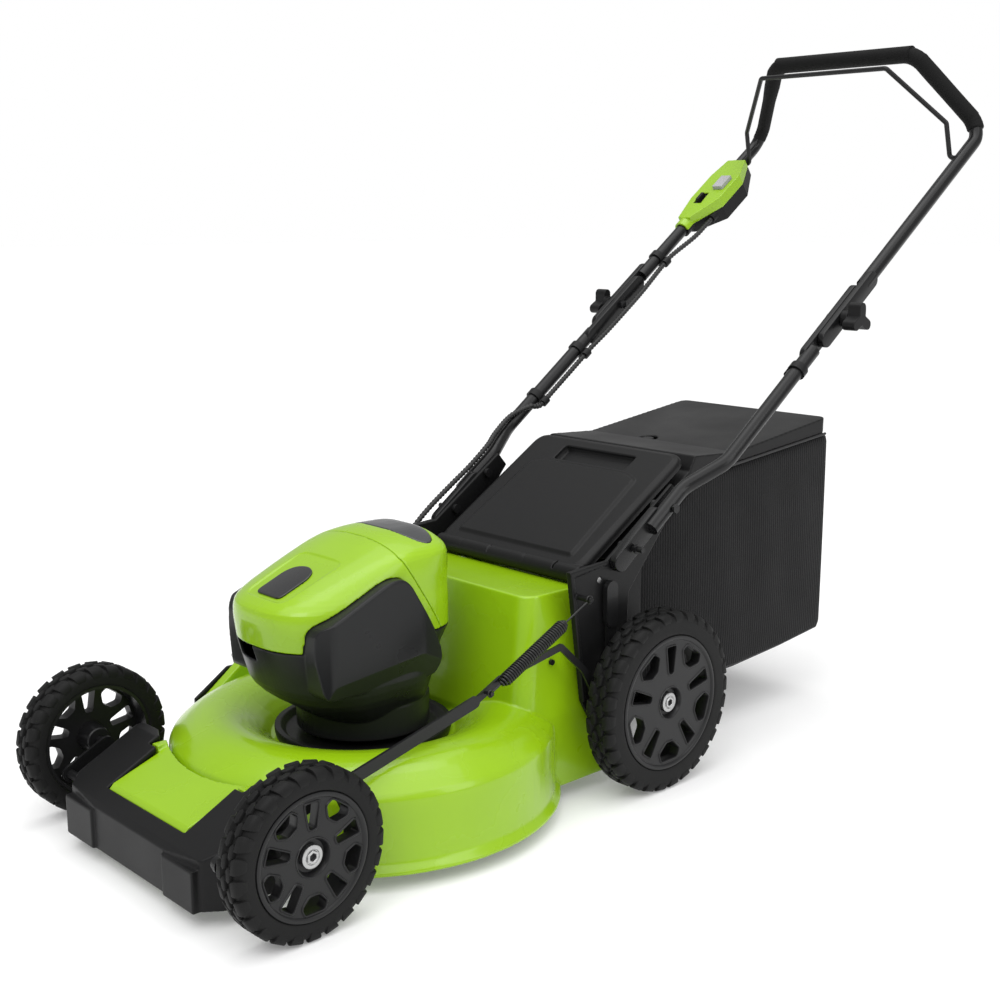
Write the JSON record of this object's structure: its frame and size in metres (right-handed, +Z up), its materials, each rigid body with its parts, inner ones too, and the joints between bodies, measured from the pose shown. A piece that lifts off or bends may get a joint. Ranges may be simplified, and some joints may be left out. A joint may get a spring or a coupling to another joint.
{
  "type": "push lawn mower",
  "caption": "Cordless push lawn mower with a round cutting deck, folding tube handle, rear discharge flap, rear grass bag and crank-arm height adjustment.",
  "frame": {"origin": "on the ground, at the middle of the mower's footprint with the handle unfolded", "axes": "+Z up, +Y to the rear where the user stands, +X to the user's left; the wheels roll along Y"},
  "size_m": [0.548, 1.5272, 1.072],
  "materials": {
    "green_plastic": "glossy lime green moulded plastic",
    "black_plastic": "fine-grained black moulded plastic",
    "dark_plastic": "satin dark grey moulded plastic",
    "tube_paint": "black powder coat",
    "foam": "closed-cell black foam",
    "bag_mesh": "woven black polyester mesh",
    "tyre": "black tread rubber",
    "rim_plastic": "black moulded plastic",
    "steel": "zinc-plated steel",
    "black_steel": "black-coated steel",
    "motor_metal": "cast aluminium",
    "copper": "wound copper on laminated steel",
    "blade_steel": "hardened steel, ground edge",
    "grey_plastic": "mid grey moulded plastic",
    "board": "lacquered circuit board",
    "cable_sleeve": "black corrugated sleeve",
    "black_spring": "black phosphated steel"
  },
  "bodies": {
    "chassis": {"deck": "green_plastic", "front_bumper": "black_plastic", "front_panel": "green_plastic", "motor_base": "black_plastic", "motor_housing": "dark_plastic", "motor_cover": "green_plastic", "motor_can": "motor_metal", "motor_bearings": "steel", "controller_board": "board", "battery_tray": "black_plastic", "battery_pack": "black_plastic", "left_handle_bracket": "black_plastic", "right_handle_bracket": "black_plastic", "left_lower_handle": "tube_paint", "right_lower_handle": "tube_paint", "bracket_bolts": "black_steel", "hinge_pins": "steel", "deck_screws": "black_steel", "handle_bolts": "black_steel", "lower_cable_clips": "black_plastic", "control_cable": "cable_sleeve", "lift_spring": "black_spring", "bag_frame": "black_plastic", "bag_fabric": "bag_mesh", "bag_wire": "black_steel"},
    "rotor": {"rotor_core": "copper", "motor_shaft": "steel", "blade_adapter": "black_plastic", "blade": "blade_steel", "blade_bolt": "steel"},
    "battery_lid": {"battery_lid": "green_plastic", "lid_window": "dark_plastic"},
    "rear_flap": {"rear_flap": "black_plastic"},
    "side_door": {"side_door": "black_plastic"},
    "upper_handle": {"upper_handle": "tube_paint", "foam_grip": "foam", "switch_box": "green_plastic", "switch_box_back": "black_plastic", "upper_cable_clip": "black_plastic"},
    "left_knob": {"left_knob": "black_plastic"},
    "right_knob": {"right_knob": "black_plastic"},
    "bail_lever": {"bail_lever": "black_steel"},
    "start_button": {"start_button": "grey_plastic"},
    "safety_key": {"safety_key": "black_plastic"},
    "front_axle": {"front_axle": "black_steel", "front_wheel_nuts": "steel"},
    "rear_axle": {"rear_axle": "black_steel", "rear_wheel_nuts": "steel", "height_lever": "black_steel"},
    "height_link": {"height_link": "black_steel"},
    "front_left_wheel": {"front_left_tyre": "tyre", "front_left_rim": "rim_plastic"},
    "front_right_wheel": {"front_right_tyre": "tyre", "front_right_rim": "rim_plastic"},
    "rear_left_wheel": {"rear_left_tyre": "tyre", "rear_left_rim": "rim_plastic"},
    "rear_right_wheel": {"rear_right_tyre": "tyre", "rear_right_rim": "rim_plastic"}
  },
  "joints": [
    {"name": "front_left_wheel_spin", "type": "hinge", "parent": "front_axle", "child": "front_left_wheel", "pos_m": [0.244, -0.6645, 0.1015], "axis": [1, 0, 0], "continuous": true},
    {"name": "front_right_wheel_spin", "type": "hinge", "parent": "front_axle", "child": "front_right_wheel", "pos_m": [-0.244, -0.6645, 0.1015], "axis": [1, 0, 0], "continuous": true},
    {"name": "rear_left_wheel_spin", "type": "hinge", "parent": "rear_axle", "child": "rear_left_wheel", "pos_m": [0.232, -0.0465, 0.129], "axis": [1, 0, 0], "continuous": true},
    {"name": "rear_right_wheel_spin", "type": "hinge", "parent": "rear_axle", "child": "rear_right_wheel", "pos_m": [-0.232, -0.0465, 0.129], "axis": [1, 0, 0], "continuous": true},
    {"name": "front_axle_swing", "type": "hinge", "parent": "chassis", "child": "front_axle", "pos_m": [0, -0.718, 0.0745], "axis": [-1, 0, 0], "range_deg": [0, 54], "deforming": ["lift_spring"]},
    {"name": "rear_axle_swing", "type": "hinge", "parent": "chassis", "child": "rear_axle", "pos_m": [0, -0.1, 0.102], "axis": [-1, 0, 0], "range_deg": [0, 54]},
    {"name": "height_link_turn", "type": "hinge", "parent": "front_axle", "child": "height_link", "pos_m": [0.1985, -0.746, 0.0985], "axis": [-1, 0, 0], "range_deg": [-54, 0]},
    {"name": "blade_spin", "type": "hinge", "parent": "chassis", "child": "rotor", "pos_m": [0, -0.3895, 0.042], "axis": [0, 0, 1], "continuous": true},
    {"name": "battery_lid_hinge", "type": "hinge", "parent": "chassis", "child": "battery_lid", "pos_m": [0, -0.3955, 0.382], "axis": [1, 0, 0], "range_deg": [0, 75]},
    {"name": "rear_flap_hinge", "type": "hinge", "parent": "chassis", "child": "rear_flap", "pos_m": [0, -0.1195, 0.305], "axis": [1, 0, 0], "range_deg": [0, 70], "stiffness_Nm_per_rad": 0.8, "springref_deg": -34.38},
    {"name": "side_door_hinge", "type": "hinge", "parent": "chassis", "child": "side_door", "pos_m": [-0.271, -0.3745, 0.158], "axis": [0, 1, 0], "range_deg": [0, 70], "stiffness_Nm_per_rad": 0.1, "springref_deg": -28.65},
    {"name": "upper_handle_fold", "type": "hinge", "parent": "chassis", "child": "upper_handle", "pos_m": [0, 0.3595, 0.6415], "axis": [1, 0, 0], "range_deg": [0, 145], "deforming": ["control_cable"]},
    {"name": "left_knob_turn", "type": "hinge", "parent": "chassis", "child": "left_knob", "pos_m": [0.256, 0.3595, 0.6415], "axis": [1, 0, 0], "continuous": true},
    {"name": "right_knob_turn", "type": "hinge", "parent": "chassis", "child": "right_knob", "pos_m": [-0.256, 0.3595, 0.6415], "axis": [1, 0, 0], "continuous": true},
    {"name": "bail_lever_pull", "type": "hinge", "parent": "upper_handle", "child": "bail_lever", "pos_m": [0, 0.6975, 0.8882], "axis": [-1, 0, 0], "range_deg": [0, 17], "stiffness_Nm_per_rad": 2, "springref_deg": -17.19},
    {"name": "start_button_press", "type": "slide", "parent": "upper_handle", "child": "start_button", "axis": [0, 0.5898, -0.8076], "range_m": [0, 0.003], "stiffness_N_per_m": 400, "springref_m": -0.002},
    {"name": "safety_key_pull", "type": "slide", "parent": "upper_handle", "child": "safety_key", "axis": [0, -0.5898, 0.8076], "range_m": [0, 0.02]}
  ],
  "couplings": [
    {"joint": "rear_axle_swing", "follows": "front_axle_swing", "ratio": 1},
    {"joint": "height_link_turn", "follows": "front_axle_swing", "ratio": -1}
  ]
}
